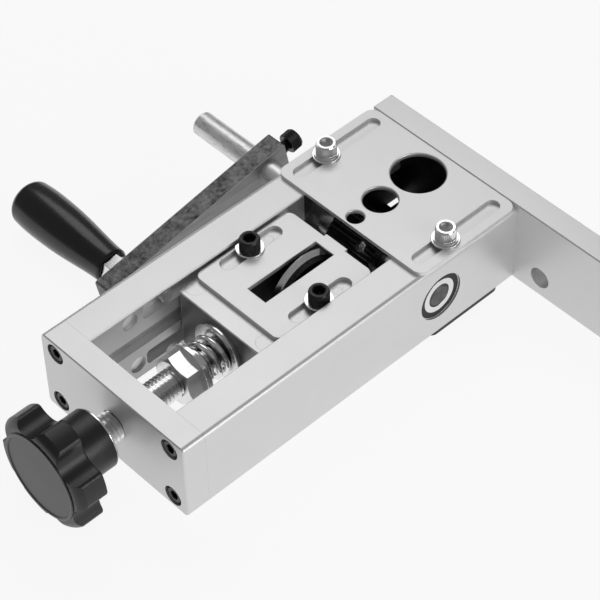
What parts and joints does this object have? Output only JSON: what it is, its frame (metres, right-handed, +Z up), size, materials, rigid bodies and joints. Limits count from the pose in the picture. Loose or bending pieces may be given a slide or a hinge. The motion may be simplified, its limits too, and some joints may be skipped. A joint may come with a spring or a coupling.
{
  "type": "manual cable stripping machine",
  "caption": "Hand-cranked cable stripper: a knob and screw press a sprung blade carriage towards a ribbed feed roller turned by the crank, between rails on a mounting bar.",
  "frame": {"origin": "centre of the mounting bar's outer face, on the body's centre line, level with the crank shaft", "axes": "+X out of the mounting bar's outer face, away from the knob; +Y towards the crank; +Z up with the machine lying on its lower cover"},
  "size_m": [0.2484, 0.296, 0.0579],
  "materials": {
    "body_aluminium": "bead blasted, satin",
    "carriage_aluminium": "milled, satin",
    "plate_aluminium": "bead blasted, satin",
    "bright_steel": "zinc plated, bright",
    "spring_steel": "bright drawn wire",
    "ground_steel": "ground",
    "bearing_steel": "polished",
    "black_steel": "black oxide",
    "scaled_steel": "hot rolled edges, ground faces",
    "knob_plastic": "moulded, fine texture",
    "grip_plastic": "glossy moulded",
    "seal_rubber": "moulded rubber"
  },
  "bodies": {
    "frame": {"end_plate": "body_aluminium", "end_plate_screws": "black_steel", "near_rail": "body_aluminium", "far_rail": "body_aluminium", "slot_pins": "bright_steel", "mounting_bar": "body_aluminium", "mounting_bar_screws": "bright_steel", "lower_cover": "black_steel", "lower_cover_screws": "bright_steel", "feed_plate_screws": "bright_steel", "feed_plate_spring_washers": "bright_steel", "feed_plate_washers": "bright_steel", "near_bearing_outer_ring": "bearing_steel", "near_bearing_seals": "seal_rubber", "far_bearing_outer_ring": "bearing_steel", "far_bearing_seals": "seal_rubber"},
    "thrust_washer": {"front_washer": "bright_steel", "pressure_spring": "spring_steel"},
    "pressure_screw": {"pressure_screw": "bright_steel", "pressure_nut": "bright_steel", "star_knob": "knob_plastic", "knob_cap": "knob_plastic", "knob_washer": "bright_steel"},
    "carriage": {"carriage": "carriage_aluminium", "carriage_plugs": "carriage_aluminium", "guide_dowels": "bright_steel", "retaining_pins": "bright_steel", "cutter_axle": "bright_steel", "cutter_spacers": "bright_steel", "window_plate_screws": "black_steel", "window_plate_washers": "bright_steel", "rear_washer": "bright_steel"},
    "cutter_disc": {"cutter_disc": "ground_steel"},
    "window_plate": {"window_plate": "plate_aluminium"},
    "feed_plate": {"feed_plate": "plate_aluminium"},
    "crank": {"crank_shaft": "ground_steel", "shaft_collars": "bright_steel", "feed_roller": "black_steel", "roller_set_screw": "bright_steel", "crank_arm": "scaled_steel", "arm_clamp_screw": "black_steel", "grip_bolt": "bright_steel", "grip_lock_nut": "bright_steel", "near_bearing_inner_ring": "bearing_steel", "far_bearing_inner_ring": "bearing_steel"},
    "grip": {"grip": "grip_plastic"},
    "near_ball_cage": {"near_bearing_balls": "bearing_steel", "near_bearing_cage": "bearing_steel"},
    "far_ball_cage": {"far_bearing_balls": "bearing_steel", "far_bearing_cage": "bearing_steel"}
  },
  "joints": [
    {"name": "screw_advance", "type": "slide", "parent": "frame", "child": "thrust_washer", "axis": [1, 0, 0], "range_m": [-0.0205, 0.0044]},
    {"name": "knob_turn", "type": "hinge", "parent": "thrust_washer", "child": "pressure_screw", "pos_m": [-0.18, 0, -0.001], "axis": [1, 0, 0], "range_deg": [-3700, 800]},
    {"name": "carriage_float", "type": "slide", "parent": "thrust_washer", "child": "carriage", "axis": [1, 0, 0], "range_m": [-0.006, 0], "stiffness_N_per_m": 20000, "springref_m": 0.003, "deforming": ["pressure_spring"]},
    {"name": "cutter_spin", "type": "hinge", "parent": "carriage", "child": "cutter_disc", "pos_m": [-0.0984, 0, 0], "axis": [0, 1, 0], "continuous": true},
    {"name": "window_plate_slide", "type": "slide", "parent": "carriage", "child": "window_plate", "axis": [1, 0, 0], "range_m": [0, 0.009]},
    {"name": "feed_plate_slide", "type": "slide", "parent": "frame", "child": "feed_plate", "axis": [1, 0, 0], "range_m": [-0.027, 0]},
    {"name": "crank_turn", "type": "hinge", "parent": "frame", "child": "crank", "pos_m": [-0.0594, 0, 0], "axis": [0, 1, 0], "continuous": true},
    {"name": "grip_turn", "type": "hinge", "parent": "crank", "child": "grip", "pos_m": [-0.14118, 0.11, -0.0153], "axis": [0, 1, 0], "continuous": true},
    {"name": "near_cage_roll", "type": "hinge", "parent": "frame", "child": "near_ball_cage", "pos_m": [-0.0594, -0.04, 0], "axis": [0, 1, 0], "continuous": true},
    {"name": "far_cage_roll", "type": "hinge", "parent": "frame", "child": "far_ball_cage", "pos_m": [-0.0594, 0.04, 0], "axis": [0, 1, 0], "continuous": true}
  ],
  "couplings": [
    {"joint": "knob_turn", "follows": "screw_advance", "rad_per_m": 3141.6},
    {"joint": "near_cage_roll", "follows": "crank_turn", "ratio": 0.3913},
    {"joint": "far_cage_roll", "follows": "crank_turn", "ratio": 0.3913}
  ]
}
